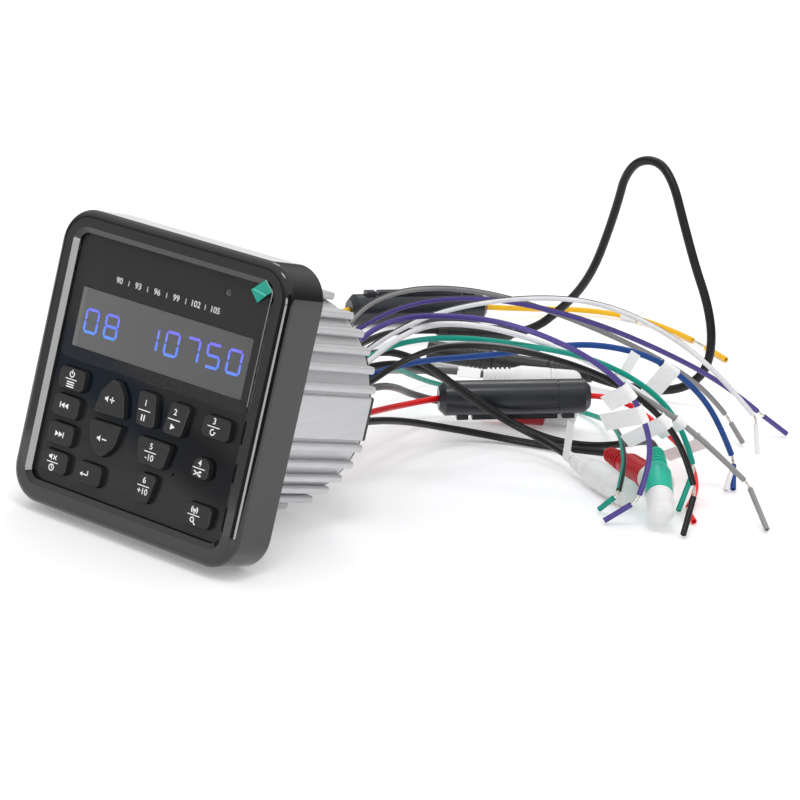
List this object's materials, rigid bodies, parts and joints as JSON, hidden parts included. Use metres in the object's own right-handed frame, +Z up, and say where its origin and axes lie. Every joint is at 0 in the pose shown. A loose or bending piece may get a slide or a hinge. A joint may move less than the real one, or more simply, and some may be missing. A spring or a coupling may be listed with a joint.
{
  "type": "marine stereo",
  "caption": "Square gauge-style marine stereo head with display and buttons, round finned heat sink and a rear wire harness.",
  "frame": {"origin": "middle of the head unit on the surface it stands on, the harness not counted", "axes": "+X to the right seen from the front, +Y to the rear where the leads run, +Z up"},
  "size_m": [0.2908, 0.4401, 0.109],
  "materials": {
    "bezel": "gloss black",
    "panel": "satin black",
    "window": "smoked",
    "film": "clear film",
    "display": "liquid crystal module",
    "keypad": "silicone",
    "board": "green solder mask",
    "plate": "black",
    "heat_sink": "satin cast",
    "chip": "moulded",
    "rear_cover": "satin black",
    "grommet": "soft black",
    "screws": "zinc plated",
    "button": "matte black",
    "lead_yellow": "satin",
    "lead_red": "satin",
    "lead_black": "satin",
    "lead_blue": "satin",
    "lead_white": "satin",
    "lead_gray": "satin",
    "lead_green": "satin",
    "lead_purple": "satin",
    "audio_lead_black": "satin",
    "audio_lead_gray": "satin",
    "aerial_lead": "satin",
    "fuse_holder": "moulded",
    "fuse_glass": "glass with metal caps",
    "socket": "moulded, in its own colour",
    "cap": "translucent",
    "joint": "moulded",
    "lead_black_rubber": "moulded",
    "aerial_socket": "moulded",
    "paper": "paper",
    "strand": "tinned",
    "sleeve": "in the colour of its lead"
  },
  "bodies": {
    "case": {"aerial_boot": "lead_black_rubber", "aerial_joint": "joint", "aerial_lead_head": "aerial_lead", "aerial_lead_loop": "aerial_lead", "aerial_socket": "aerial_socket", "amplifier_chip": "chip", "audio_lead_front_red": "audio_lead_black", "audio_lead_front_white": "audio_lead_black", "audio_lead_green": "audio_lead_black", "audio_lead_rear_red": "audio_lead_gray", "audio_lead_rear_white": "audio_lead_gray", "audio_sockets": "socket", "bare_strands": "strand", "bezel_back_plate": "plate", "case_screws": "screws", "display_module": "display", "display_window": "window", "dust_caps": "cap", "fascia_panel": "panel", "front_bezel": "bezel", "front_board": "board", "fuse_holders": "fuse_holder", "fuses": "fuse_glass", "heat_sink": "heat_sink", "lead_blue": "lead_blue", "lead_gray_1": "lead_gray", "lead_gray_2": "lead_gray", "lead_green_1": "lead_green", "lead_green_2": "lead_green", "lead_ground": "lead_black", "lead_purple_1": "lead_purple", "lead_purple_2": "lead_purple", "lead_red_head": "lead_red", "lead_red_tail": "lead_red", "lead_tags": "paper", "lead_white_1": "lead_white", "lead_white_2": "lead_white", "lead_yellow_head": "lead_yellow", "lead_yellow_tail": "lead_yellow", "main_board": "board", "protective_film": "film", "rear_cover": "rear_cover", "rubber_keypad": "keypad", "tip_sleeves": "sleeve", "wire_grommet": "grommet"},
    "button_band": {"button_band": "button"},
    "button_memory_1": {"button_memory_1": "button"},
    "button_memory_2": {"button_memory_2": "button"},
    "button_memory_3": {"button_memory_3": "button"},
    "button_memory_4": {"button_memory_4": "button"},
    "button_memory_5": {"button_memory_5": "button"},
    "button_memory_6": {"button_memory_6": "button"},
    "button_mute": {"button_mute": "button"},
    "button_next": {"button_next": "button"},
    "button_power": {"button_power": "button"},
    "button_previous": {"button_previous": "button"},
    "button_select": {"button_select": "button"},
    "button_volume_down": {"button_volume_down": "button"},
    "button_volume_up": {"button_volume_up": "button"}
  },
  "joints": [
    {"name": "press_band", "type": "slide", "parent": "case", "child": "button_band", "axis": [0, 0.9787, -0.2055], "range_m": [0, 0.0008], "stiffness_N_per_m": 800},
    {"name": "press_memory_1", "type": "slide", "parent": "case", "child": "button_memory_1", "axis": [0, 0.9787, -0.2055], "range_m": [0, 0.0008], "stiffness_N_per_m": 800},
    {"name": "press_memory_2", "type": "slide", "parent": "case", "child": "button_memory_2", "axis": [0, 0.9787, -0.2055], "range_m": [0, 0.0008], "stiffness_N_per_m": 800},
    {"name": "press_memory_3", "type": "slide", "parent": "case", "child": "button_memory_3", "axis": [0, 0.9787, -0.2055], "range_m": [0, 0.0008], "stiffness_N_per_m": 800},
    {"name": "press_memory_4", "type": "slide", "parent": "case", "child": "button_memory_4", "axis": [0, 0.9787, -0.2055], "range_m": [0, 0.0008], "stiffness_N_per_m": 800},
    {"name": "press_memory_5", "type": "slide", "parent": "case", "child": "button_memory_5", "axis": [0, 0.9787, -0.2055], "range_m": [0, 0.0008], "stiffness_N_per_m": 800},
    {"name": "press_memory_6", "type": "slide", "parent": "case", "child": "button_memory_6", "axis": [0, 0.9787, -0.2055], "range_m": [0, 0.0008], "stiffness_N_per_m": 800},
    {"name": "press_mute", "type": "slide", "parent": "case", "child": "button_mute", "axis": [0, 0.9787, -0.2055], "range_m": [0, 0.0008], "stiffness_N_per_m": 800},
    {"name": "press_next", "type": "slide", "parent": "case", "child": "button_next", "axis": [0, 0.9787, -0.2055], "range_m": [0, 0.0008], "stiffness_N_per_m": 800},
    {"name": "press_power", "type": "slide", "parent": "case", "child": "button_power", "axis": [0, 0.9787, -0.2055], "range_m": [0, 0.0008], "stiffness_N_per_m": 800},
    {"name": "press_previous", "type": "slide", "parent": "case", "child": "button_previous", "axis": [0, 0.9787, -0.2055], "range_m": [0, 0.0008], "stiffness_N_per_m": 800},
    {"name": "press_select", "type": "slide", "parent": "case", "child": "button_select", "axis": [0, 0.9787, -0.2055], "range_m": [0, 0.0008], "stiffness_N_per_m": 800},
    {"name": "press_volume_down", "type": "slide", "parent": "case", "child": "button_volume_down", "axis": [0, 0.9787, -0.2055], "range_m": [0, 0.0008], "stiffness_N_per_m": 800},
    {"name": "press_volume_up", "type": "slide", "parent": "case", "child": "button_volume_up", "axis": [0, 0.9787, -0.2055], "range_m": [0, 0.0008], "stiffness_N_per_m": 800}
  ]
}
